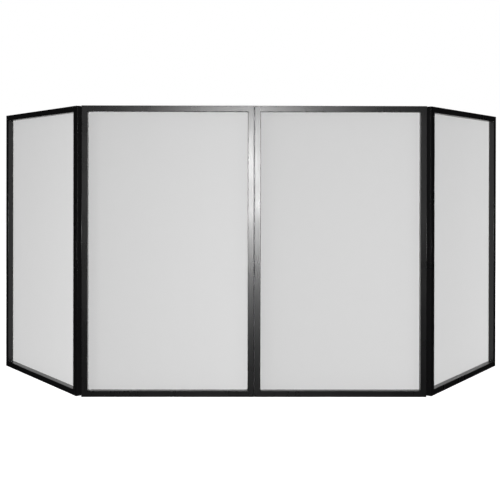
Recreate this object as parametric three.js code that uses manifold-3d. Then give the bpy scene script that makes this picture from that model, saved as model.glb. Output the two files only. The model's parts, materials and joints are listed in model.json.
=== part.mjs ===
// Four-panel folding screen: welded square-tube frames, fabric scrims held on by hook-and-loop tape,
// and three full-height pin hinges that let the panels fold like a concertina.
// Millimetres, +Z up. The two centre panels face -Y in one plane and the wings fold back towards +Y.

import * as THREE from "three";
import { mergeVertices } from "three/addons/utils/BufferGeometryUtils.js";
import Module from "manifold-3d";

const wasm = await Module();
wasm.setup();

// Panels and their square tube
const panelWidth = 710;
const panelHeight = 1200;
const tubeSize = 25;
const tubeWall = 1.2;
const tubeCorner = 1.5;
const mitreGap = 0.3;
const wingFold = 51.5;

// Tape and fabric, in layers on the back face of the tube
const layerGap = 0.2;
const tapeWidth = 22.5;
const hookThickness = 0.8;
const loopThickness = 0.6;
const scrimThickness = 0.6;
const tapeJointGap = 1;

// Hinges: leaves on the side faces of the posts, with the pin just outside the frame
const leafThickness = 0.8;
const leafOnTube = 18;
const closedGap = 0.5;
const foldClearance = 0.7;
const hingeEndInset = 4;
const knucklePitch = 50;
const knuckleGap = 0.4;
const knuckleWall = 0.8;
const pinRadius = 1;
const pinClearance = 0.06;

// Facets: half the number in a tube corner, and the number round a knuckle and its pin
const cornerSegments = 2;
const knuckleSides = 10;

// Sizes that follow from the ones above
const seam = 2 * (layerGap + leafThickness) + closedGap;
const fabricStack = 3 * layerGap + hookThickness + loopThickness + scrimThickness;
const pinSetback = fabricStack + foldClearance;
const tapeInset = tubeSize - tapeWidth;
const boreRadius = (pinRadius + pinClearance) / Math.cos(Math.PI / knuckleSides);
const knuckleRadius = boreRadius + knuckleWall;
const hingeLength = panelHeight - 2 * hingeEndInset;
const knucklePairs = Math.max(1, Math.round((hingeLength / knucklePitch - 1) / 2));
const knuckleCount = 2 * knucklePairs + 1;
const knuckleLength = hingeLength / knuckleCount;

function material(color, roughness, metalness) {
  return new THREE.MeshStandardMaterial({ color, roughness, metalness });
}

function framePaint() {
  return material(0x121214, 0.32, 0.2);
}

function hookTape() {
  return material(0xb4b4b0, 0.9, 0);
}

function loopTape() {
  return material(0xd8d8d6, 0.95, 0);
}

function scrimFabric() {
  return material(0xcfcfcf, 0.85, 0);
}

function hingeSteel() {
  return material(0x8e8f92, 0.38, 1);
}

function pinSteel() {
  return material(0x9a9ca0, 0.3, 1);
}

function addPiece(group, name, geometry, finish) {
  const mesh = new THREE.Mesh(geometry, finish);
  mesh.name = name;
  group.add(mesh);
  return mesh;
}

// A box between two opposite corners.
function block(low, high) {
  const size = high.map((value, axis) => value - low[axis]);
  const geometry = new THREE.BoxGeometry(...size);
  geometry.translate(...low.map((value, axis) => value + size[axis] / 2));
  return geometry;
}

// An upright cylinder that stands on the given height.
function uprightCylinder(radius, bottom, height) {
  const geometry = new THREE.CylinderGeometry(radius, radius, height, knuckleSides);
  geometry.rotateX(Math.PI / 2);
  geometry.translate(0, 0, bottom + height / 2);
  return geometry;
}

function toSolid(geometry) {
  const bare = geometry.clone();
  bare.deleteAttribute("normal");
  bare.deleteAttribute("uv");
  const merged = mergeVertices(bare, 1e-4);
  const mesh = new wasm.Mesh({
    numProp: 3,
    vertProperties: merged.attributes.position.array,
    triVerts: new Uint32Array(merged.index.array),
  });
  return new wasm.Manifold(mesh);
}

function toGeometry(solid) {
  const mesh = solid.getMesh();
  const indexed = new THREE.BufferGeometry();
  indexed.setAttribute("position", new THREE.BufferAttribute(mesh.vertProperties, mesh.numProp));
  indexed.setIndex(new THREE.BufferAttribute(mesh.triVerts, 1));
  const geometry = indexed.toNonIndexed();
  geometry.computeVertexNormals();
  return geometry;
}

// Traces a square with round corners, in the plane of depth (from 0 at the front face) and height
// (from minus half to plus half of the square's size).
function traceSquare(path, size, corner, middle) {
  const near = middle - size / 2;
  const far = middle + size / 2;
  const half = size / 2;
  path.moveTo(near + corner, -half);
  path.lineTo(far - corner, -half);
  path.absarc(far - corner, -half + corner, corner, -Math.PI / 2, 0, false);
  path.lineTo(far, half - corner);
  path.absarc(far - corner, half - corner, corner, 0, Math.PI / 2, false);
  path.lineTo(near + corner, half);
  path.absarc(near + corner, half - corner, corner, Math.PI / 2, Math.PI, false);
  path.lineTo(near, -half + corner);
  path.absarc(near + corner, -half + corner, corner, Math.PI, 1.5 * Math.PI, false);
}

// One hollow tube of a frame, lying along X above the panel's centre. Its outer edge is at the height
// `reach` and both ends are mitred at 45 degrees to meet the next tubes.
function mitredTube(length, reach) {
  const section = new THREE.Shape();
  traceSquare(section, tubeSize, tubeCorner, tubeSize / 2);
  const bore = new THREE.Path();
  const boreCorner = Math.max(tubeCorner - tubeWall, tubeWall / 4);
  traceSquare(bore, tubeSize - 2 * tubeWall, boreCorner, tubeSize / 2);
  section.holes.push(bore);
  const geometry = new THREE.ExtrudeGeometry(section, {
    depth: 1,
    bevelEnabled: false,
    curveSegments: cornerSegments,
  });
  const position = geometry.attributes.position;
  const mitreSetback = mitreGap * Math.SQRT1_2;
  for (let i = 0; i < position.count; i += 1) {
    const depth = position.getX(i);
    const height = position.getY(i);
    const end = position.getZ(i) > 0.5 ? 1 : -1;
    const drawnBack = tubeSize / 2 - height + mitreSetback;
    position.setXYZ(i, end * (length / 2 - drawnBack), depth, reach - tubeSize / 2 + height);
  }
  geometry.computeVertexNormals();
  return geometry;
}

// The four tubes of a frame, turned about the panel's centre from the top rail onwards.
function addFrame(panel, name) {
  const sides = ["top_rail", "right_post", "bottom_rail", "left_post"];
  sides.forEach((side, turn) => {
    const isRail = turn % 2 === 0;
    const length = isRail ? panelWidth : panelHeight;
    const reach = (isRail ? panelHeight : panelWidth) / 2;
    const tube = addPiece(panel, `${name}_${side}`, mitredTube(length, reach), framePaint());
    tube.position.set(panelWidth / 2, 0, panelHeight / 2);
    tube.rotation.y = (turn * Math.PI) / 2;
  });
}

// Strips of hook tape on the back of the tubes, flush with their inner faces: the rails' strips run right
// across, and the posts' strips fit between them.
function addHookTape(panel, name) {
  const front = tubeSize + layerGap;
  const back = front + hookThickness;
  const right = panelWidth - tapeInset;
  const top = panelHeight - tapeInset;
  const low = tapeInset + tapeWidth + tapeJointGap;
  const high = top - tapeWidth - tapeJointGap;
  const strips = {
    top: [tapeInset, top - tapeWidth, right, top],
    right: [right - tapeWidth, low, right, high],
    bottom: [tapeInset, tapeInset, right, tapeInset + tapeWidth],
    left: [tapeInset, low, tapeInset + tapeWidth, high],
  };
  Object.entries(strips).forEach(([side, [x0, z0, x1, z1]]) => {
    const strip = block([x0, front, z0], [x1, back, z1]);
    addPiece(panel, `${name}_hook_tape_${side}`, strip, hookTape());
  });
}

// The scrim: a sheet of fabric, with a border of loop tape sewn round its front.
function addScrim(panel, name) {
  const right = panelWidth - tapeInset;
  const top = panelHeight - tapeInset;
  const loopFront = tubeSize + 2 * layerGap + hookThickness;
  const loopBack = loopFront + loopThickness;
  const outer = toSolid(block([tapeInset, loopFront, tapeInset], [right, loopBack, top]));
  const inset = tapeInset + tapeWidth;
  const windowLow = [inset, loopFront - 1, inset];
  const windowHigh = [panelWidth - inset, loopBack + 1, panelHeight - inset];
  const border = toGeometry(outer.subtract(toSolid(block(windowLow, windowHigh))));
  addPiece(panel, `${name}_loop_border`, border, loopTape());

  const scrimFront = loopBack + layerGap;
  const scrimBack = scrimFront + scrimThickness;
  const sheet = block([tapeInset, scrimFront, tapeInset], [right, scrimBack, top]);
  addPiece(panel, `${name}_scrim`, sheet, scrimFabric());
}

// A whole panel, with its lower left front corner at the group's origin.
function makePanel(name) {
  const panel = new THREE.Group();
  addFrame(panel, name);
  addHookTape(panel, name);
  addScrim(panel, name);
  return panel;
}

// One leaf of a hinge, about a pin on the Z axis. `side` is the post that it is fixed to, -1 or 1, and
// `inward` is the way along Y from the pin into the seam. The leaf with the outer knuckles has `isOuter`.
function hingeLeaf(side, inward, isOuter) {
  const face = closedGap / 2;
  const notch = knuckleRadius + knuckleGap;
  const reach = pinSetback + leafOnTube;
  const plate = (from, to, bottom, top) => {
    const xs = [side * face, side * (face + leafThickness)].sort((a, b) => a - b);
    const ys = [inward * from, inward * to].sort((a, b) => a - b);
    return toSolid(block([xs[0], ys[0], bottom], [xs[1], ys[1], top]));
  };
  const hingeTop = hingeEndInset + hingeLength;
  let leaf = plate(notch, reach, hingeEndInset, hingeTop);
  for (let i = isOuter ? 0 : 1; i < knuckleCount; i += 2) {
    const bottom = hingeEndInset + i * knuckleLength + knuckleGap / 2;
    const height = knuckleLength - knuckleGap;
    const knuckle = toSolid(uprightCylinder(knuckleRadius, bottom, height));
    leaf = leaf.add(knuckle).add(plate(0, notch + 1, bottom, bottom + height));
  }
  const bore = toSolid(uprightCylinder(boreRadius, hingeEndInset - 1, hingeLength + 2));
  return toGeometry(leaf.subtract(bore));
}

function hingePin() {
  return uprightCylinder(pinRadius, hingeEndInset, hingeLength);
}

const screen = new THREE.Group();

// Centre panels, with the centre hinge at their front
const centreLeft = makePanel("centre_left");
centreLeft.position.x = -seam / 2 - panelWidth;
screen.add(centreLeft);
const centreRight = makePanel("centre_right");
centreRight.position.x = seam / 2;
screen.add(centreRight);

const centreAxis = new THREE.Group();
centreAxis.position.y = -pinSetback;
screen.add(centreAxis);
addPiece(centreAxis, "centre_hinge_left_leaf", hingeLeaf(-1, 1, true), hingeSteel());
addPiece(centreAxis, "centre_hinge_right_leaf", hingeLeaf(1, 1, false), hingeSteel());
addPiece(centreAxis, "centre_hinge_pin", hingePin(), pinSteel());

// Wings, each turned back about a hinge at the back of the seam
["left", "right"].forEach((name) => {
  const outward = name === "left" ? -1 : 1;
  const axis = new THREE.Group();
  axis.position.set(outward * (panelWidth + seam), tubeSize + pinSetback, 0);
  screen.add(axis);
  addPiece(axis, `${name}_hinge_centre_leaf`, hingeLeaf(-outward, -1, true), hingeSteel());
  addPiece(axis, `${name}_hinge_pin`, hingePin(), pinSteel());

  const swing = new THREE.Group();
  swing.rotation.z = outward * THREE.MathUtils.degToRad(wingFold);
  axis.add(swing);
  addPiece(swing, `${name}_hinge_wing_leaf`, hingeLeaf(outward, -1, false), hingeSteel());
  const wing = makePanel(`${name}_wing`);
  const innerEdge = outward < 0 ? -seam / 2 - panelWidth : seam / 2;
  wing.position.set(innerEdge, -tubeSize - pinSetback, 0);
  swing.add(wing);
});

// The origin is on the floor, under the middle of the whole screen
const extent = new THREE.Box3().setFromObject(screen, true);
const middle = extent.getCenter(new THREE.Vector3());
screen.position.set(-middle.x, -middle.y, -extent.min.z);

export default screen;
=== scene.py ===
"""Finished pieces of a four-panel folding fabric screen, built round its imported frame.

Each panel is worked in a frame of its own: X runs right from its left edge, Y is the depth behind its front
face and Z is the height above the floor. A hinge's own frame has its pin on the Z axis.
"""

import json
import math

import bmesh
import bpy
from bpy.props import FloatProperty, FloatVectorProperty, IntProperty, PointerProperty
from mathutils import Matrix, Vector, noise

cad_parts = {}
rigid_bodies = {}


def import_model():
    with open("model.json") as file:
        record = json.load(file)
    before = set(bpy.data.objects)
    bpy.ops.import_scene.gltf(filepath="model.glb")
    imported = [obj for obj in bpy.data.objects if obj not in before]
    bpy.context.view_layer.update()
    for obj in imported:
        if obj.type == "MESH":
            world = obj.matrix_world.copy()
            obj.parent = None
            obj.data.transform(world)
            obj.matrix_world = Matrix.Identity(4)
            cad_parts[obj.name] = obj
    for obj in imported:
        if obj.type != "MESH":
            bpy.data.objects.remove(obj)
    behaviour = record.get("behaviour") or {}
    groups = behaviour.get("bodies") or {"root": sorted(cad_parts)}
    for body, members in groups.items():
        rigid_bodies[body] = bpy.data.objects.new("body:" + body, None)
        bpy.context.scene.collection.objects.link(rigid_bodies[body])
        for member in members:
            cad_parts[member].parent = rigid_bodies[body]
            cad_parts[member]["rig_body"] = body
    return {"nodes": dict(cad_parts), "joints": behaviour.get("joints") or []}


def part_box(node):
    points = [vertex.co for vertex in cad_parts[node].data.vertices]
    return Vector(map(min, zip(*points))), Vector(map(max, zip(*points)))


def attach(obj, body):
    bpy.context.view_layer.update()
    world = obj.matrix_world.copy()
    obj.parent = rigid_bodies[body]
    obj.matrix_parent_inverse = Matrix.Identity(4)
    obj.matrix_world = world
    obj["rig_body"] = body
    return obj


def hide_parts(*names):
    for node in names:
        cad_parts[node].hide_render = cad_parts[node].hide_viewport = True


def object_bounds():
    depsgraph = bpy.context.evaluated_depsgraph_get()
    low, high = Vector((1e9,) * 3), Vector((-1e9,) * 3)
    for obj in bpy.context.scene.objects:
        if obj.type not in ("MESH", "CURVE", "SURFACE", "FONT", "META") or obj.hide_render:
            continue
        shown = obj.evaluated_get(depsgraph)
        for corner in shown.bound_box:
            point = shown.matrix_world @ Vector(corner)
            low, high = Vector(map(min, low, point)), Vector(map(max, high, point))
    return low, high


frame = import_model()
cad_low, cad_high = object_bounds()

bl_info = {
    "name": "Folding Fabric Screen",
    "version": (1, 0, 0),
    "blender": (4, 5, 0),
    "location": "View3D > Sidebar > Screen",
    "description": "Builds the tubes, scrims, hinges and studio of a four-panel folding fabric screen",
    "category": "Object",
}

MM = 0.001
SHARP = math.radians(35)
PANELS = ("left_wing", "centre_left", "centre_right", "right_wing")
SIDES = ("top_rail", "right_post", "bottom_rail", "left_post")
AXIS_X = Vector((1, 0, 0))
AXIS_Z = Vector((0, 0, 1))

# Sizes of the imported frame
post_low, post_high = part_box("centre_left_left_post")
rail_low, rail_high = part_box("centre_left_top_rail")
cloth_low, cloth_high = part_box("centre_left_scrim")
tape_low, tape_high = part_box("centre_left_hook_tape_top")
pin_low, pin_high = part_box("centre_hinge_pin")
leaf_low, leaf_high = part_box("centre_hinge_left_leaf")
floor_height = cad_low.z
tube_size = rail_high.z - rail_low.z
panel_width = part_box("centre_left_right_post")[1].x - post_low.x
panel_height = rail_high.z - floor_height
mitre_setback = rail_low.x - post_low.x
cloth_inset = cloth_low.x - post_low.x
cloth_depth = cloth_low.y - post_low.y
cloth_thickness = cloth_high.y - cloth_low.y
tape_width = tape_high.z - tape_low.z
hinge_bottom = leaf_low.z
hinge_length = leaf_high.z - leaf_low.z


def joint_named(name):
    return next(joint for joint in frame["joints"] if joint["name"] == name)


centre_axis = Vector(joint_named("centre_fold")["pos_m"])
half_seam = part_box("centre_right_left_post")[0].x - centre_axis.x
pin_setback = post_low.y - centre_axis.y
pin_radius = (pin_high.y - pin_low.y) / 2
leaf_reach = leaf_high.y - centre_axis.y


def wing_axis(side):
    """The place of a wing's hinge pin, and the angle that the wing is folded back by at rest."""
    joint = joint_named(f"{side}_wing_fold")
    return Vector(joint["pos_m"]), math.radians(-joint["range_deg"][0])


def wing_turn(side):
    """The turn from the flat screen to the wing as it stands, about its hinge pin."""
    place, fold = wing_axis(side)
    outward = -1 if side == "left" else 1
    return Matrix.Translation((place.x, place.y, 0)) @ Matrix.Rotation(outward * fold, 4, "Z")


def panel_place(name):
    """The matrix from a panel's own frame to the row frame."""
    if name.endswith("_wing"):
        side = name.removesuffix("_wing")
        inner_edge = half_seam if side == "right" else -half_seam - panel_width
        pin_behind_front = wing_axis(side)[0].y - post_low.y
        return wing_turn(side) @ Matrix.Translation((inner_edge, -pin_behind_front, floor_height))
    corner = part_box(f"{name}_left_post")[0]
    return Matrix.Translation((corner.x, corner.y, floor_height))


# Properties


def length_property(name, description, default):
    return FloatProperty(name=name, description=description, default=default, min=0, unit="LENGTH")


def colour_property(name, description, default):
    return FloatVectorProperty(
        name=name, description=description, default=default, size=3, min=0, max=1, subtype="COLOR"
    )


def angle_property(name, description, degrees):
    return FloatProperty(name=name, description=description, default=math.radians(degrees), unit="ROTATION")


def place_property(name, description, default):
    return FloatProperty(name=name, description=description, default=default, unit="LENGTH")


def power_property(name, description, default):
    return FloatProperty(name=name, description=description, default=default, min=0, unit="POWER")


def share_property(name, description, default):
    return FloatProperty(
        name=name, description=description, default=default, min=0, max=1, subtype="FACTOR"
    )


class TubeProperties(bpy.types.PropertyGroup):
    corner: length_property("Corner", "Radius of the tube's rounded corners", 1.5 * MM)
    wall: length_property("Wall", "Thickness of the tube's wall", 1.2 * MM)
    segments: IntProperty(name="Segments", description="Facets in a rounded corner", default=5, min=1)
    weld_proud: length_property("Weld proud", "Height of the ground welds over the tube", 0.1 * MM)
    weld_width: length_property("Weld width", "Width of the ground welds at the mitres", 1.6 * MM)
    bead_radius: length_property("Bead radius", "Radius of the beads in the inner corners", 2 * MM)
    paint: colour_property("Paint", "Colour of the paint", (0.005, 0.005, 0.0052))
    metal: colour_property("Bare metal", "Colour where the paint is chipped", (0.52, 0.51, 0.5))
    gloss: share_property("Roughness", "Roughness of the paint", 0.26)


class TapeProperties(bpy.types.PropertyGroup):
    hook: colour_property("Hook tape", "Colour of the hook tape", (0.45, 0.45, 0.43))
    loop: colour_property("Loop tape", "Colour of the loop tape", (0.5, 0.5, 0.49))
    hook_pile: FloatProperty(name="Hook pile", description="Hooks in a metre of hook tape", default=700)
    loop_pile: FloatProperty(name="Loop pile", description="Loops in a metre of loop tape", default=1400)
    hook_relief: length_property("Hook relief", "Relief of the hooks", 0.6 * MM)
    loop_relief: length_property("Loop relief", "Relief of the loops", 0.4 * MM)


class ScrimProperties(bpy.types.PropertyGroup):
    slack: length_property("Slack", "Depth of the ripples in the stretched cloth", 0.35 * MM)
    cell: length_property("Cell", "Size of the cloth's mesh cells", 9 * MM)
    hem_width: length_property("Hem width", "Width of the turned hem", 19 * MM)
    hem_thickness: length_property("Hem thickness", "Thickness of the turned hem", 0.45 * MM)
    stitch_pitch: length_property("Stitch pitch", "Distance from stitch to stitch", 3.6 * MM)
    stitch_length: length_property("Stitch length", "Length of one stitch", 2.9 * MM)
    stitch_radius: length_property("Thread", "Radius of the sewing thread", 0.28 * MM)
    stitch_inset: length_property("Row inset", "From a row of stitches to the hem's edge", 2.5 * MM)
    cloth: colour_property("Cloth", "Colour of the cloth", (0.725, 0.725, 0.725))
    thread: colour_property("Thread colour", "Colour of the sewing thread", (0.7, 0.7, 0.69))


class HingeProperties(bpy.types.PropertyGroup):
    thickness: length_property("Thickness", "Thickness of the leaves", 0.8 * MM)
    post_gap: length_property("Post gap", "Gap between a leaf and its post", 0.2 * MM)
    pin_clearance: length_property("Pin clearance", "Gap round the pin in its knuckles", 0.1 * MM)
    knuckles: IntProperty(name="Knuckles", description="Number of knuckles on a hinge", default=23, min=3)
    gap: length_property("Gap", "Gap between two knuckles", 0.4 * MM)
    roll: share_property("Roll", "Share of a full turn that a knuckle is rolled through", 0.8)
    rivets: IntProperty(name="Rivets", description="Number of rivets in a leaf", default=8, min=2)
    rivet_radius: length_property("Rivet radius", "Radius of a rivet's head", 2.6 * MM)
    rivet_proud: length_property("Rivet proud", "Height of a rivet's head over the leaf", 0.2 * MM)
    rivet_end: length_property("Rivet end", "Distance from the leaf's end to its first rivet", 40 * MM)
    steel: colour_property("Steel", "Colour of the plated leaves", (0.28, 0.28, 0.29))
    pin: colour_property("Pin", "Colour of the plated pins", (0.56, 0.55, 0.54))


class StudioProperties(bpy.types.PropertyGroup):
    lens: FloatProperty(name="Lens", description="Focal length", default=59.0, unit="CAMERA")
    sensor: FloatProperty(name="Sensor", description="Width of the sensor", default=36, unit="CAMERA")
    shift_x: FloatProperty(name="Shift X", description="Lens shift to the right", default=0.0235)
    shift_y: FloatProperty(name="Shift Y", description="Lens shift upwards", default=-0.137)
    distance: length_property("Distance", "From the camera to the centre panels", 3.372)
    height: length_property("Height", "Height of the camera over the floor", 0.898)
    offset: place_property("Offset", "Camera's place along X", -0.084)
    tilt: angle_property("Tilt", "How far the camera looks below the level", 0.17)
    pan: angle_property("Pan", "How far the camera looks to the right", 0.3)
    roll: angle_property("Roll", "How far the camera leans to the right", 0.1)
    floor: colour_property("Floor", "Colour of the floor", (0.86, 0.86, 0.86))
    floor_glow: share_property("Floor glow", "Share of the floor's light that no shadow takes away", 0.9)
    reach: length_property("Backdrop", "Radius of the floor and of the white dome over it", 14)
    fill: share_property("Fill", "Strength of the even light from all round", 0.15)
    key_power: power_property("Key power", "Power of the soft light behind the camera", 115)
    key_width: length_property("Key width", "Width of that light", 0.3)
    key_height: length_property("Key height", "Height of that light", 0.95)
    key_distance: length_property("Key distance", "From that light to the centre panels", 3.9)
    key_offset: place_property("Key offset", "That light's place along X", 0.036)
    key_level: length_property("Key level", "Height of that light's middle", 0.911)
    left_power: power_property("Left power", "Power of the left side light", 148)
    right_power: power_property("Right power", "Power of the right side light", 163)
    side_size: length_property("Side size", "Width and height of the side lights", 1.6)
    side_distance: length_property("Side distance", "From the middle to each side light", 6)
    side_level: length_property("Side level", "Height of the side lights' middles", 0.8)
    side_aim: length_property("Side aim", "From the middle to what each side light faces", 1)
    strip_power: power_property("Strip power", "Power of a metre of strip light", 8)
    strip_width: length_property("Strip width", "Width of the strip lights", 0.4)
    strip_distance: length_property("Strip distance", "From the middle to each strip light", 3.4)
    strip_lead: length_property("Strip lead", "How far the strip lights stand before the front", 1.9)
    right_strip_height: length_property("Right strip height", "Height of the right strip light", 0.35)
    right_strip_level: length_property("Right strip level", "Height of its middle", 1.22)
    left_strip_height: length_property("Left strip height", "Height of the left strip light", 1.1)
    left_strip_level: length_property("Left strip level", "Height of its middle", 0.72)
    back_power: power_property("Back power", "Power of the back light", 90)
    back_width: length_property("Back width", "Width of the back light", 1.6)
    back_height: length_property("Back height", "Height of the back light", 1.2)
    back_distance: length_property("Back distance", "From the middle to the back light", 4.6)
    back_level: length_property("Back level", "Height of the back light's middle", 1.3)


# Shader maths


class Wire:
    """An output socket that can be used in expressions."""

    def __init__(self, finish, socket):
        self.finish = finish
        self.socket = socket

    def math(self, operation, first, second):
        return self.finish.node("ShaderNodeMath", {"operation": operation}, {0: first, 1: second})

    def __add__(self, other):
        return self.math("ADD", self, other)

    __radd__ = __add__

    def __sub__(self, other):
        return self.math("SUBTRACT", self, other)

    def __rsub__(self, other):
        return self.math("SUBTRACT", other, self)

    def __mul__(self, other):
        return self.math("MULTIPLY", self, other)

    __rmul__ = __mul__

    def __gt__(self, other):
        return self.math("GREATER_THAN", self, other)


class Finish:
    """A material whose nodes are written as expressions."""

    def __init__(self, name):
        self.material = bpy.data.materials.new(name)
        self.material.use_nodes = True
        self.tree = self.material.node_tree
        self.tree.nodes.clear()

    def node(self, kind, settings=None, values=None, output=0):
        made = self.tree.nodes.new(kind)
        for key, value in (settings or {}).items():
            setattr(made, key, value)
        for key, value in (values or {}).items():
            if isinstance(value, Wire):
                self.tree.links.new(value.socket, made.inputs[key])
            else:
                made.inputs[key].default_value = value
        return Wire(self, made.outputs[output]) if made.outputs else None

    def coordinates(self, scale=(1, 1, 1)):
        place = self.node("ShaderNodeTexCoord", output="Object")
        return self.node("ShaderNodeMapping", values={"Vector": place, "Scale": scale})

    def noise(self, place, scale, detail=2, roughness=0.5):
        values = {"Vector": place, "Scale": scale, "Detail": detail, "Roughness": roughness}
        return self.node("ShaderNodeTexNoise", values=values)

    def remap(self, value, low, high, new_low, new_high):
        values = {0: value, 1: low, 2: high, 3: new_low, 4: new_high}
        return self.node("ShaderNodeMapRange", values=values)

    def blend(self, factor, first, second):
        values = {0: factor, 6: first, 7: second}
        return self.node("ShaderNodeMix", {"data_type": "RGBA"}, values, output=2)

    def bump(self, height, distance, strength=1):
        values = {"Height": height, "Distance": distance, "Strength": strength}
        return self.node("ShaderNodeBump", values=values)

    def surface(self, values):
        shader = self.node("ShaderNodeBsdfPrincipled", values=values)
        self.node("ShaderNodeOutputMaterial", values={"Surface": shader})
        return self.material


def opaque(colour, share=1):
    """A colour as a shader wants it, with its parts multiplied by a share."""
    return (*[part * share for part in colour], 1)


def painted_steel(name, paint, metal, gloss):
    """Semi-gloss paint with a fine orange peel, faint smears and chips along the worn edges."""
    finish = Finish(name)
    place = finish.coordinates()
    clouds = finish.noise(place, scale=5, detail=3)
    smears = finish.noise(finish.coordinates(scale=(60, 60, 9)), scale=1, detail=3)
    peel = finish.noise(place, scale=650, detail=1)
    worn = finish.node("ShaderNodeAttribute", {"attribute_name": "wear"}, output="Fac")
    chipped_above = 0.69
    chips = worn * (finish.noise(place, scale=170, detail=4, roughness=0.7) > chipped_above)
    tone = finish.blend(clouds, opaque(paint, 0.8), opaque(paint, 1.25))
    roughness = finish.remap(clouds, 0.3, 0.7, gloss - 0.02, gloss + 0.03)
    return finish.surface({
        "Base Color": finish.blend(chips, tone, opaque(metal)),
        "Roughness": roughness + 0.04 * smears + 0.15 * chips,
        "Metallic": chips,
        "Normal": finish.bump(peel - 2 * chips, 0.02 * MM),
    })


def plated_steel(name, metal):
    """Dull zinc plating with fine lines along its length."""
    finish = Finish(name)
    lines = finish.noise(finish.coordinates(scale=(3000, 3000, 20)), scale=1, detail=2)
    dull = finish.noise(finish.coordinates(), scale=30, detail=3)
    return finish.surface({
        "Base Color": finish.blend(dull, opaque(metal, 0.8), opaque(metal)),
        "Metallic": 1.0,
        "Roughness": finish.remap(lines, 0.3, 0.7, 0.25, 0.42),
        "Normal": finish.bump(lines, 0.01 * MM),
    })


def stretch_cloth(name, cloth):
    """A fine warp knit: wales and courses in relief, with painted shade between the loops.

    It has a little mottling, and painted light: a slow gradient of tone,
    lighter to the right and towards the bottom.
    """
    finish = Finish(name)
    place = finish.node("ShaderNodeUVMap", {"uv_map": "cloth"})
    wales = finish.node(
        "ShaderNodeTexWave",
        {"bands_direction": "X"},
        {"Vector": place, "Scale": 260, "Distortion": 0.4, "Detail": 1, "Detail Scale": 2},
    )
    courses = finish.node(
        "ShaderNodeTexWave",
        {"bands_direction": "Y"},
        {"Vector": place, "Scale": 330, "Distortion": 0.6, "Detail": 1, "Detail Scale": 2},
    )
    mottle = finish.noise(place, scale=14, detail=4)
    slubs = finish.noise(place, scale=420, detail=2)
    across = finish.node("ShaderNodeSeparateXYZ", values={0: place})
    up = finish.node("ShaderNodeSeparateXYZ", values={0: place}, output=1)
    loops = wales * courses
    # Painted light: the cloth is painted lighter to the right and towards the bottom
    painted_light_gradient = across * (0.75 / panel_width) - up * (0.9 / panel_height)
    tone = finish.remap(painted_light_gradient + 0.12 * mottle + 0.02 * slubs, -0.9, 0.9, 0, 1)
    shade = finish.blend(tone, opaque(cloth, 0.875), opaque(cloth, 1.125))
    return finish.surface({
        # Painted shade: the hollows between the knit's loops are painted darker
        "Base Color": finish.blend(0.08 - 0.08 * loops, shade, opaque(cloth, 0.6)),
        "Roughness": finish.remap(slubs, 0.3, 0.7, 0.78, 0.9),
        "Sheen Weight": 0.12,
        "Sheen Roughness": 0.4,
        "Normal": finish.bump(loops + 0.3 * slubs, 0.12 * MM, 0.6),
    })


def tape_pile(name, colour, pile, relief):
    """The nap of hook or loop tape, with `pile` hooks or loops in a metre."""
    finish = Finish(name)
    place = finish.coordinates()
    hooks = finish.node("ShaderNodeTexVoronoi", values={"Vector": place, "Scale": pile})
    fuzz = finish.noise(place, scale=pile * 2, detail=3, roughness=0.7)
    return finish.surface({
        # Painted light and shade: each hook's top is painted lighter and the gaps between the hooks darker
        "Base Color": finish.blend(hooks, opaque(colour, 1.2), opaque(colour, 0.6)),
        "Roughness": finish.remap(fuzz, 0.3, 0.7, 0.8, 1),
        "Sheen Weight": 0.2,
        "Normal": finish.bump(fuzz - hooks, relief),
    })


def sewing_thread(name, colour):
    """Twisted thread."""
    finish = Finish(name)
    twist = finish.noise(finish.coordinates(), scale=2500, detail=2)
    return finish.surface({
        # Painted shade: the low parts of the twist are painted darker
        "Base Color": finish.blend(twist, opaque(colour, 0.75), opaque(colour)),
        "Roughness": finish.remap(twist, 0.3, 0.7, 0.55, 0.75),
        "Sheen Weight": 0.2,
        "Normal": finish.bump(twist, 0.1 * MM),
    })


# Mesh helpers


def finish_piece(shape, name, body, place, material, replaced=(), smooth=True):
    """Makes a shape into a piece of the screen, put in place in its mesh."""
    mesh = bpy.data.meshes.new(name)
    shape.to_mesh(mesh)
    shape.free()
    mesh.transform(place)
    if smooth:
        mesh.set_sharp_from_angle(angle=SHARP)
    mesh.materials.append(material)
    piece = bpy.data.objects.new(name, mesh)
    bpy.context.scene.collection.objects.link(piece)
    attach(piece, body)
    if replaced:
        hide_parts(*replaced)
    return piece


def rounded_square(shape, size, corner, segments):
    """A face in the plane of depth and height, centred on the X axis."""
    bmesh.ops.create_grid(shape, x_segments=1, y_segments=1, size=size / 2)
    bmesh.ops.bevel(
        shape,
        geom=shape.verts[:],
        offset=corner,
        affect="VERTICES",
        segments=segments,
        profile=0.5,
        material=-1,
    )
    stand_up = Matrix(((0, 0, 1, 0), (1, 0, 0, 0), (0, 1, 0, 0), (0, 0, 0, 1)))
    bmesh.ops.transform(shape, matrix=stand_up, verts=shape.verts[:])


def new_verts(result):
    return [part for part in result["geom"] if isinstance(part, bmesh.types.BMVert)]


def new_edges(result):
    return [part for part in result["geom"] if isinstance(part, bmesh.types.BMEdge)]


def lean(amount):
    """A shear that moves a point along X by its height."""
    return Matrix(((1, 0, amount, 0), (0, 1, 0, 0), (0, 0, 1, 0), (0, 0, 0, 1)))


def extrude_along_x(shape, near, far, near_lean=0, far_lean=0):
    """Draws the shape's faces out along X, with ends that can lean to a mitre."""
    start = shape.verts[:]
    end = new_verts(bmesh.ops.extrude_face_region(shape, geom=shape.faces[:]))
    bmesh.ops.transform(shape, matrix=Matrix.Translation((near, 0, 0)) @ lean(near_lean), verts=start)
    bmesh.ops.transform(shape, matrix=Matrix.Translation((far, 0, 0)) @ lean(far_lean), verts=end)
    bmesh.ops.recalc_face_normals(shape, faces=shape.faces[:])


def smooth_round_faces(shape):
    """Shades the faces of rounded corners smooth and leaves the flat ones flat."""
    straight = 0.99
    shape.normal_update()
    for face in shape.faces:
        face.smooth = max(abs(part) for part in face.normal) < straight


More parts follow.
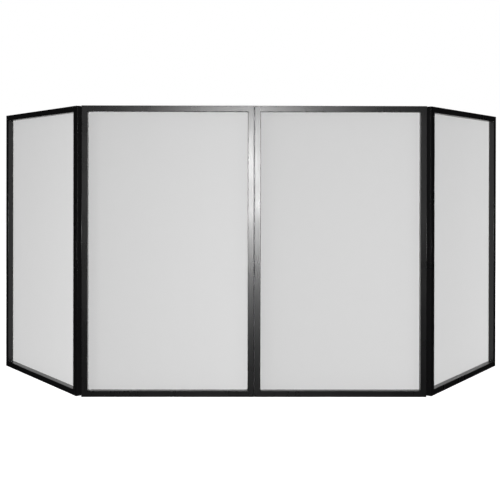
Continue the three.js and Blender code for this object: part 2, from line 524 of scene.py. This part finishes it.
def repeat(shape, step, count):
    """Repeats a shape along a step until there are `count` of it, by copying what is there so far."""
    parts = (len(shape.verts), len(shape.edges), len(shape.faces))
    made = 1
    while made < count:
        more = min(made, count - made)
        lists = (shape.verts[:], shape.edges[:], shape.faces[:])
        source = [item for number, items in zip(parts, lists) for item in items[: more * number]]
        copy = bmesh.ops.duplicate(shape, geom=source)
        bmesh.ops.translate(shape, vec=step * made, verts=new_verts(copy))
        made += more


def turned_side(turn):
    """The matrix that brings a piece made above the panel's centre to one of its four sides."""
    middle = Matrix.Translation((panel_width / 2, tube_size / 2, panel_height / 2))
    return middle @ Matrix.Rotation(turn * math.pi / 2, 4, "Y")


# Frames


def build_tube(turn, tube):
    """One mitred square tube, hollow, with a wear attribute on its rounded corners."""
    is_rail = turn % 2 == 0
    length = panel_width if is_rail else panel_height
    reach = (panel_height if is_rail else panel_width) / 2
    shape = bmesh.new()
    rounded_square(shape, tube_size, tube.corner, tube.segments)
    face = shape.faces[:]
    bmesh.ops.inset_region(
        shape, faces=face, thickness=tube.wall, use_even_offset=True, use_boundary=True
    )
    bmesh.ops.delete(shape, geom=face, context="FACES")
    half = (length - tube_size) / 2 - mitre_setback
    extrude_along_x(shape, -half, half, near_lean=-1, far_lean=1)
    smooth_round_faces(shape)
    wear = shape.loops.layers.float.new("wear")
    for face in shape.faces:
        for loop in face.loops:
            loop[wear] = 1.0 if face.smooth else 0.0
    bmesh.ops.translate(shape, vec=(0, 0, reach - tube_size / 2), verts=shape.verts[:])
    bmesh.ops.transform(shape, matrix=turned_side(turn), verts=shape.verts[:])
    return shape


def add_ground_weld(shape, tube):
    """The ground weld that fills the mitre at a panel's upper right corner."""
    weld = bmesh.new()
    rounded_square(weld, 1, tube.corner / tube_size, tube.segments)
    depth_scale = tube_size + 2 * tube.weld_proud
    height_scale = tube_size + tube.weld_proud
    bmesh.ops.scale(weld, vec=(1, depth_scale, height_scale), verts=weld.verts[:])
    bmesh.ops.translate(weld, vec=(0, 0, -tube.weld_proud / 2), verts=weld.verts[:])
    extrude_along_x(weld, -tube.weld_width / 2, tube.weld_width / 2, near_lean=1, far_lean=1)
    smooth_round_faces(weld)
    corner = Vector(((panel_width - tube_size) / 2, 0, (panel_height - tube_size) / 2))
    bmesh.ops.translate(weld, vec=corner, verts=weld.verts[:])
    append(shape, weld)


def add_bead(shape, tube):
    """The rippled weld bead in a panel's upper right inner corner."""
    ripples = 14
    ripple_swell = 1.12
    bead = bmesh.new()
    bmesh.ops.create_circle(bead, cap_ends=True, radius=tube.bead_radius, segments=12)
    lay_down = Matrix.Rotation(-math.pi / 2, 3, "X")
    bmesh.ops.rotate(bead, cent=(0, 0, 0), matrix=lay_down, verts=bead.verts[:])
    length = tube_size - 2 * tube.corner
    step = length / (2 * ripples)
    cap = bead.faces[:]
    for i in range(2 * ripples):
        grown = bmesh.ops.extrude_face_region(bead, geom=cap)
        verts = new_verts(grown)
        cap = [part for part in grown["geom"] if isinstance(part, bmesh.types.BMFace)]
        swell = ripple_swell if i % 2 == 0 else 1 / ripple_swell
        bmesh.ops.translate(bead, vec=(0, step, 0), verts=verts)
        bmesh.ops.scale(bead, vec=(swell, 1, swell), verts=verts)
    bmesh.ops.recalc_face_normals(bead, faces=bead.faces[:])
    for face in bead.faces:
        face.smooth = True
    corner = Vector((panel_width / 2 - tube_size, -length / 2, panel_height / 2 - tube_size))
    bmesh.ops.translate(bead, vec=corner, verts=bead.verts[:])
    append(shape, bead)


def append(shape, part):
    """Adds a part to a shape and frees the part."""
    holder = bpy.data.meshes.new("holder")
    part.to_mesh(holder)
    part.free()
    shape.from_mesh(holder)
    bpy.data.meshes.remove(holder)


def build_welds(tube):
    """The welds at the four corners of a panel, made at one corner and mirrored to the others."""
    shape = bmesh.new()
    add_ground_weld(shape, tube)
    add_bead(shape, tube)
    for axis in ("X", "Z"):
        bmesh.ops.mirror(shape, geom=shape.verts[:] + shape.edges[:] + shape.faces[:], axis=axis)
    bmesh.ops.recalc_face_normals(shape, faces=shape.faces[:])
    bmesh.ops.transform(shape, matrix=turned_side(0), verts=shape.verts[:])
    return shape


class FABRICSCREEN_OT_frames(bpy.types.Operator):
    """Build the sixteen frame tubes and the welds at their mitres"""

    bl_idname = "fabric_screen.frames"
    bl_label = "Frames"

    def execute(self, context):
        tube = context.scene.screen_tubes
        paint = painted_steel("frame_paint", tube.paint, tube.metal, tube.gloss)
        for name in PANELS:
            place = panel_place(name)
            for turn, side in enumerate(SIDES):
                node = f"{name}_{side}"
                shape = build_tube(turn, tube)
                finish_piece(shape, f"{node}_tube", name, place, paint, [node], smooth=False)
            shape = build_welds(tube)
            finish_piece(shape, f"{name}_welds", name, place, paint, smooth=False)
        return {"FINISHED"}


# Tapes


class FABRICSCREEN_OT_tapes(bpy.types.Operator):
    """Give the hook and loop tapes their pile"""

    bl_idname = "fabric_screen.tapes"
    bl_label = "Tapes"

    def execute(self, context):
        tape = context.scene.screen_tapes
        hook = tape_pile("hook_tape", tape.hook, tape.hook_pile, tape.hook_relief)
        loop = tape_pile("loop_tape", tape.loop, tape.loop_pile, tape.loop_relief)
        for name in PANELS:
            for side in ("top", "right", "bottom", "left"):
                frame["nodes"][f"{name}_hook_tape_{side}"].data.materials[0] = hook
            frame["nodes"][f"{name}_loop_border"].data.materials[0] = loop
        return {"FINISHED"}


# Scrims


def ripple(x, z, slack, phase):
    """How far the stretched cloth stands off its plane: nothing at the tapes, slow ripples inside."""
    border = cloth_inset + tape_width
    rise_width = 60 * MM
    to_edge = min(x - border, panel_width - border - x, z - border, panel_height - border - z)
    rise = max(0, min(1, to_edge / rise_width))
    slow = noise.noise(Vector((x * 5, z * 3, phase)))
    quick = noise.noise(Vector((x * 14, z * 11, phase + 5)))
    return slack * rise * (slow + 0.35 * quick)


def upright_grid(shape, columns, rows, depth):
    """A grid as large as the cloth, facing the front at a depth behind it."""
    width = panel_width - 2 * cloth_inset
    height = panel_height - 2 * cloth_inset
    bmesh.ops.create_grid(shape, x_segments=columns, y_segments=rows, size=0.5)
    bmesh.ops.scale(shape, vec=(width, height, 1), verts=shape.verts[:])
    stand_up = Matrix.Rotation(math.pi / 2, 3, "X")
    bmesh.ops.rotate(shape, cent=(0, 0, 0), matrix=stand_up, verts=shape.verts[:])
    bmesh.ops.translate(shape, vec=(panel_width / 2, depth, panel_height / 2), verts=shape.verts[:])


def map_cloth(shape):
    """A UV map in metres over the panel's front, which the knit and its tone follow."""
    layer = shape.loops.layers.uv.new("cloth")
    for face in shape.faces:
        for loop in face.loops:
            loop[layer].uv = (loop.vert.co.x, loop.vert.co.z)


def build_cloth(scrim, phase):
    """The stretched sheet, with slow ripples."""
    shape = bmesh.new()
    columns = round(panel_width / scrim.cell)
    rows = round(panel_height / scrim.cell)
    upright_grid(shape, columns, rows, cloth_depth)
    for vert in shape.verts:
        vert.co.y += ripple(vert.co.x, vert.co.z, scrim.slack, phase)
    bmesh.ops.solidify(shape, geom=shape.faces[:], thickness=cloth_thickness)
    map_cloth(shape)
    return shape


def build_hem(scrim, phase):
    """The turned hem on the cloth's back, gently puckered along its inner edge."""
    shape = bmesh.new()
    upright_grid(shape, 1, 1, cloth_depth + cloth_thickness)
    middle = shape.faces[:]
    bmesh.ops.inset_region(
        shape, faces=middle, thickness=scrim.hem_width, use_even_offset=True, use_boundary=True
    )
    bmesh.ops.delete(shape, geom=middle, context="FACES_ONLY")
    mitres = [edge for edge in shape.edges if len(edge.link_faces) == 2]
    runs = [edge for edge in shape.edges if edge not in mitres]
    bmesh.ops.subdivide_edges(shape, edges=runs, cuts=80)
    inner_border = cloth_inset + scrim.hem_width - MM
    pucker_rate = 45
    pucker_depth = 0.5 * MM
    for vert in shape.verts:
        x, y, z = vert.co
        if inner_border < x < panel_width - inner_border and inner_border < z < panel_height - inner_border:
            pucker = pucker_depth * noise.noise(Vector((x * pucker_rate, z * pucker_rate, phase)))
            vert.co.x += pucker
            vert.co.z += pucker
    bmesh.ops.solidify(shape, geom=shape.faces[:], thickness=scrim.hem_thickness)
    square = math.radians(60)
    rims = [edge for edge in shape.edges if edge.calc_face_angle(0) > square]
    bmesh.ops.bevel(
        shape,
        geom=rims,
        offset=scrim.hem_thickness / 3,
        affect="EDGES",
        segments=2,
        profile=0.5,
        material=-1,
    )
    map_cloth(shape)
    return shape


def add_stitch_row(shape, start, along, length, scrim):
    """A row of stitches, made as one stitch that is repeated."""
    count = int(length / scrim.stitch_pitch)
    row = bmesh.new()
    bmesh.ops.create_uvsphere(row, u_segments=6, v_segments=3, radius=1)
    size = (scrim.stitch_radius, scrim.stitch_radius, scrim.stitch_length / 2)
    bmesh.ops.scale(row, vec=size, verts=row.verts[:])
    turn = AXIS_Z.rotation_difference(along).to_matrix()
    bmesh.ops.rotate(row, cent=(0, 0, 0), matrix=turn, verts=row.verts[:])
    first = start + along * (length - (count - 1) * scrim.stitch_pitch) / 2
    bmesh.ops.translate(row, vec=first, verts=row.verts[:])
    repeat(row, along * scrim.stitch_pitch, count)
    append(shape, row)


def build_stitching(scrim):
    """Two rows of stitches round the hem, which hold it and the loop tape."""
    depth = cloth_depth + cloth_thickness + scrim.hem_thickness
    shape = bmesh.new()
    for inset in (scrim.stitch_inset, scrim.hem_width - scrim.stitch_inset):
        left = cloth_inset + inset
        right = panel_width - left
        top = panel_height - left
        for height in (left, top):
            add_stitch_row(shape, Vector((left, depth, height)), AXIS_X, right - left, scrim)
        for across in (left, right):
            add_stitch_row(shape, Vector((across, depth, left)), AXIS_Z, top - left, scrim)
    return shape


class FABRICSCREEN_OT_scrims(bpy.types.Operator):
    """Build the four stretched scrims with their hems and stitching"""

    bl_idname = "fabric_screen.scrims"
    bl_label = "Scrims"

    def execute(self, context):
        scrim = context.scene.screen_scrims
        cloth_finish = stretch_cloth("scrim_fabric", scrim.cloth)
        thread = sewing_thread("sewing_thread", scrim.thread)
        for phase, name in enumerate(PANELS):
            place = panel_place(name)
            node = f"{name}_scrim"
            shape = build_cloth(scrim, phase)
            cloth = finish_piece(shape, f"{node}_cloth", name, place, cloth_finish, [node])
            shape = build_hem(scrim, phase)
            hem = finish_piece(shape, f"{node}_hem", name, place, cloth_finish)
            shape = build_stitching(scrim)
            stitches = finish_piece(shape, f"{node}_stitches", name, place, thread)
        return {"FINISHED"}


# Hinges


def hinge_levels(hinge, is_outer):
    """The heights at which a leaf's own knuckles begin and end, from the bottom up."""
    pitch = hinge_length / hinge.knuckles
    levels = []
    for i in range(0 if is_outer else 1, hinge.knuckles, 2):
        bottom = hinge_bottom + i * pitch
        levels.append((bottom + hinge.gap / 2, bottom + pitch - hinge.gap / 2))
    return levels


def build_leaf(side, inward, is_outer, hinge):
    """A leaf as one folded sheet: a plate on a post's side, with knuckles rolled round the pin.

    The post is on the given side of the pin, -1 or 1, and the seam lies on the `inward` way along Y.
    """
    bore = pin_radius + hinge.pin_clearance
    notch = bore + hinge.thickness + hinge.gap
    face = half_seam - hinge.post_gap - hinge.thickness
    shape = bmesh.new()
    line = []
    own_spans = hinge_levels(hinge, is_outer)
    span_ends = [height for span in own_spans for height in span]
    heights = [hinge_bottom, *span_ends, hinge_bottom + hinge_length]
    for height in heights:
        line.append(shape.verts.new((side * face, inward * notch, height)))
    edges = [shape.edges.new(pair) for pair in zip(line, line[1:])]
    plate = bmesh.ops.extrude_edge_only(shape, edges=edges)
    bmesh.ops.translate(shape, vec=(0, inward * (leaf_reach - notch), 0), verts=new_verts(plate))

    start_angle = math.radians(50)
    bow = 0.12 * MM
    on_bore = Vector((side * bore * math.cos(start_angle), inward * bore * math.sin(start_angle), 0))
    at_plate = Vector((side * face, inward * notch, 0))
    halfway = at_plate.lerp(on_bore, 0.5) - Vector((side * bow, 0, 0))
    knuckles = edges[1::2]
    for step in (halfway - at_plate, on_bore - halfway):
        rolled = bmesh.ops.extrude_edge_only(shape, edges=knuckles)
        bmesh.ops.translate(shape, vec=step, verts=new_verts(rolled))
        knuckles = [edge for edge in new_edges(rolled) if is_upright(edge) and edge.is_boundary]
    turn = -side * inward * 2 * math.pi * hinge.roll
    ends = [vert for edge in knuckles for vert in edge.verts]
    bmesh.ops.spin(shape, geom=knuckles + ends, cent=(0, 0, 0), axis=AXIS_Z, angle=turn, steps=18)

    bmesh.ops.remove_doubles(shape, verts=shape.verts[:], dist=0.001 * MM)
    bmesh.ops.recalc_face_normals(shape, faces=shape.faces[:])
    far_face = max(shape.faces, key=lambda part: abs(part.calc_center_median().y))
    if far_face.normal.x * side > 0:
        bmesh.ops.reverse_faces(shape, faces=shape.faces[:])
    bmesh.ops.solidify(shape, geom=shape.faces[:], thickness=hinge.thickness)
    return shape


def is_upright(edge):
    low, high = edge.verts
    return abs(low.co.z - high.co.z) > MM


def build_rivets(side, inward, hinge):
    """The low heads of the rivets that hold a leaf to its post."""
    face = half_seam - hinge.post_gap - hinge.thickness
    middle = (pin_setback + leaf_reach) / 2
    pitch = (hinge_length - 2 * hinge.rivet_end) / (hinge.rivets - 1)
    shape = bmesh.new()
    ball = bmesh.ops.create_uvsphere(shape, u_segments=20, v_segments=10, radius=hinge.rivet_radius)
    head = ball["verts"]
    bmesh.ops.rotate(shape, cent=(0, 0, 0), matrix=Matrix.Rotation(math.pi / 2, 3, "Y"), verts=head)
    bmesh.ops.scale(shape, vec=(hinge.rivet_proud / hinge.rivet_radius, 1, 1), verts=head)
    first = (side * face, inward * middle, hinge_bottom + hinge.rivet_end)
    bmesh.ops.translate(shape, vec=first, verts=head)
    repeat(shape, AXIS_Z * pitch, hinge.rivets)
    return shape


def build_pin():
    """A hinge pin with rounded ends and a low domed head."""
    end_round = 0.35 * MM
    head_radius = 1.6 * pin_radius
    head_height = 0.9 * MM
    head_lift = 0.3 * MM
    shape = bmesh.new()
    bmesh.ops.create_cone(
        shape, cap_ends=True, segments=32, radius1=pin_radius, radius2=pin_radius, depth=hinge_length
    )
    ends = [edge for edge in shape.edges if not is_upright(edge)]
    bmesh.ops.bevel(
        shape,
        geom=ends,
        offset=end_round,
        affect="EDGES",
        segments=3,
        profile=0.5,
        material=-1,
    )
    bmesh.ops.translate(shape, vec=(0, 0, hinge_bottom + hinge_length / 2), verts=shape.verts[:])
    head = bmesh.ops.create_uvsphere(shape, u_segments=32, v_segments=12, radius=1)["verts"]
    bmesh.ops.scale(shape, vec=(head_radius, head_radius, head_height), verts=head)
    bmesh.ops.translate(shape, vec=(0, 0, hinge_bottom + hinge_length + head_lift), verts=head)
    return shape


def hinge_parts():
    """Each leaf's node, place, post's side and way into the seam, and whether it is the outer leaf."""
    centre = Matrix.Translation((centre_axis.x, centre_axis.y, 0))
    parts = [
        ("centre_hinge_left_leaf", centre, -1, 1, True),
        ("centre_hinge_right_leaf", centre, 1, 1, False),
    ]
    for side, outward in (("left", -1), ("right", 1)):
        axis = wing_axis(side)[0]
        still = Matrix.Translation((axis.x, axis.y, 0))
        parts.append((f"{side}_hinge_centre_leaf", still, -outward, -1, True))
        parts.append((f"{side}_hinge_wing_leaf", wing_turn(side), outward, -1, False))
    return parts


class FABRICSCREEN_OT_hinges(bpy.types.Operator):
    """Build the rolled hinge leaves, their rivets and the pins"""

    bl_idname = "fabric_screen.hinges"
    bl_label = "Hinges"

    def execute(self, context):
        hinge = context.scene.screen_hinges
        tube = context.scene.screen_tubes
        steel = plated_steel("hinge_steel", hinge.steel)
        painted = painted_steel("hinge_paint", tube.paint, tube.metal, tube.gloss)
        plated = plated_steel("pin_steel", hinge.pin)
        # The wings' leaves are painted with the posts, and the centre ones are bare
        for node, place, side, inward, is_outer in hinge_parts():
            finish = steel if node.startswith("centre_hinge") else painted
            body = frame["nodes"][node]["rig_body"]
            shape = build_leaf(side, inward, is_outer, hinge)
            finish_piece(shape, f"{node}_rolled", body, place, finish, [node])
            shape = build_rivets(side, inward, hinge)
            finish_piece(shape, f"{node}_rivets", body, place, finish)
        for name in ("centre", "left", "right"):
            node = f"{name}_hinge_pin"
            axis = centre_axis if name == "centre" else wing_axis(name)[0]
            place = Matrix.Translation((axis.x, axis.y, 0))
            body = frame["nodes"][node]["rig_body"]
            finish_piece(build_pin(), f"{node}_headed", body, place, plated, [node])
        return {"FINISHED"}


# Studio


def add_object(name, data):
    made = bpy.data.objects.new(name, data)
    bpy.context.scene.collection.objects.link(made)
    return made


def soft_light(name, place, target, width, height, power):
    """A rectangular soft light that faces a target."""
    lamp = bpy.data.lights.new(name, "AREA")
    lamp.shape = "RECTANGLE"
    lamp.size = width
    lamp.size_y = height
    lamp.energy = power
    light = add_object(name, lamp)
    aim = Vector(target) - Vector(place)
    light.rotation_euler = aim.to_track_quat("-Z", "Y").to_euler()
    light.location = place
    return light


def pale_floor(colour, glow):
    """A pale matt floor, lit so evenly that shadows on it stay faint."""
    finish = Finish("pale_floor")
    grain = finish.noise(finish.coordinates(), scale=60, detail=3)
    return finish.surface({
        "Base Color": finish.blend(grain, opaque(colour, 0.99), opaque(colour)),
        "Roughness": 0.9,
        "Emission Color": (1, 1, 1, 1),
        "Emission Strength": glow,
    })


def plain_glow(name):
    """An evenly lit white backdrop."""
    finish = Finish(name)
    return finish.surface({
        "Base Color": (0, 0, 0, 1),
        "Specular IOR Level": 0.0,
        "Emission Color": (1, 1, 1, 1),
        "Emission Strength": 1.0,
    })


def disc(name, radius, material):
    shape = bmesh.new()
    bmesh.ops.create_circle(shape, cap_ends=True, radius=radius, segments=96)
    return set_mesh(shape, name, material)


def dome_mesh(name, radius, material):
    """The upper half of a sphere."""
    shape = bmesh.new()
    bmesh.ops.create_uvsphere(shape, u_segments=96, v_segments=48, radius=radius)
    parts = shape.verts[:] + shape.edges[:] + shape.faces[:]
    bmesh.ops.bisect_plane(shape, geom=parts, plane_co=(0, 0, 0), plane_no=AXIS_Z, clear_inner=True)
    return set_mesh(shape, name, material)


def set_mesh(shape, name, material):
    mesh = bpy.data.meshes.new(name)
    shape.to_mesh(mesh)
    shape.free()
    mesh.materials.append(material)
    return mesh


class FABRICSCREEN_OT_studio(bpy.types.Operator):
    """Set up the camera, the soft lights and the pale floor"""

    bl_idname = "fabric_screen.studio"
    bl_label = "Studio"

    def execute(self, context):
        scene = context.scene
        studio = scene.screen_studio
        front = post_low.y
        middle = floor_height + panel_height / 2
        lens = bpy.data.cameras.new("camera")
        lens.lens = studio.lens
        lens.sensor_width = studio.sensor
        lens.shift_x = studio.shift_x
        lens.shift_y = studio.shift_y
        camera = add_object("camera", lens)
        camera.location = (studio.offset, front - studio.distance, studio.height)
        camera.rotation_euler = (math.pi / 2 - studio.tilt, -studio.roll, -studio.pan)
        scene.camera = camera

        ground = disc("floor", studio.reach, pale_floor(studio.floor, studio.floor_glow))
        floor = add_object("floor", ground)
        floor.location.z = floor_height - 0.2 * MM
        dome = add_object("backdrop", dome_mesh("backdrop", studio.reach, plain_glow("backdrop")))
        for set_piece in (floor, dome):
            set_piece.visible_glossy = False
            set_piece.visible_diffuse = False
        dome.visible_shadow = False

        place = Vector((studio.key_offset, front - studio.key_distance, studio.key_level))
        target = (place.x, front, place.z)
        soft_light("key", place, target, studio.key_width, studio.key_height, studio.key_power)

        # The side lights cast no shadows, so the wings' frames don't darken the cloth
        for name, side, power in (("left", -1, studio.left_power), ("right", 1, studio.right_power)):
            place = (side * studio.side_distance, front, studio.side_level)
            target = (side * studio.side_aim, 0, middle)
            light = soft_light(f"side_{name}", place, target, studio.side_size, studio.side_size, power)
            light.visible_glossy = False
            light.data.use_shadow = False

        strips = (
            ("strip_right", 1, studio.right_strip_level, studio.right_strip_height),
            ("strip_left", -1, studio.left_strip_level, studio.left_strip_height),
        )
        for name, side, level, height in strips:
            place = (side * studio.strip_distance, front - studio.strip_lead, level)
            power = studio.strip_power * height
            soft_light(name, place, (0, 0, level), studio.strip_width, height, power)

        place = (0, studio.back_distance, studio.back_level)
        soft_light("back", place, (0, 0, middle), studio.back_width, studio.back_height, studio.back_power)

        world = bpy.data.worlds.new("studio")
        world.use_nodes = True
        background = world.node_tree.nodes["Background"]
        background.inputs["Color"].default_value = (1, 1, 1, 1)
        background.inputs["Strength"].default_value = studio.fill
        scene.world = world
        world.cycles_visibility.glossy = False
        scene.view_settings.view_transform = "Standard"
        return {"FINISHED"}


# Add-on


class FABRICSCREEN_PT_build(bpy.types.Panel):
    """Sizes, colours and build steps of the screen"""

    bl_idname = "FABRICSCREEN_PT_build"
    bl_label = "Fabric Screen"
    bl_space_type = "VIEW_3D"
    bl_region_type = "UI"
    bl_category = "Screen"

    def draw(self, context):
        for attribute, operator in STEPS:
            column = self.layout.column()
            group = getattr(context.scene, attribute)
            for name in group.__annotations__:
                column.prop(group, name)
            column.operator(operator.bl_idname)


STEPS = (
    ("screen_tubes", FABRICSCREEN_OT_frames),
    ("screen_tapes", FABRICSCREEN_OT_tapes),
    ("screen_scrims", FABRICSCREEN_OT_scrims),
    ("screen_hinges", FABRICSCREEN_OT_hinges),
    ("screen_studio", FABRICSCREEN_OT_studio),
)
GROUPS = {
    "screen_tubes": TubeProperties,
    "screen_tapes": TapeProperties,
    "screen_scrims": ScrimProperties,
    "screen_hinges": HingeProperties,
    "screen_studio": StudioProperties,
}
CLASSES = (*GROUPS.values(), *[operator for _, operator in STEPS], FABRICSCREEN_PT_build)


def register():
    for item in CLASSES:
        bpy.utils.register_class(item)
    for attribute, group in GROUPS.items():
        setattr(bpy.types.Scene, attribute, PointerProperty(type=group))


def unregister():
    for attribute in GROUPS:
        delattr(bpy.types.Scene, attribute)
    for item in reversed(CLASSES):
        bpy.utils.unregister_class(item)


def main():
    register()
    bpy.ops.fabric_screen.frames()
    bpy.ops.fabric_screen.tapes()
    bpy.ops.fabric_screen.scrims()
    bpy.ops.fabric_screen.hinges()
    bpy.ops.fabric_screen.studio()


if __name__ == "__main__":
    main()
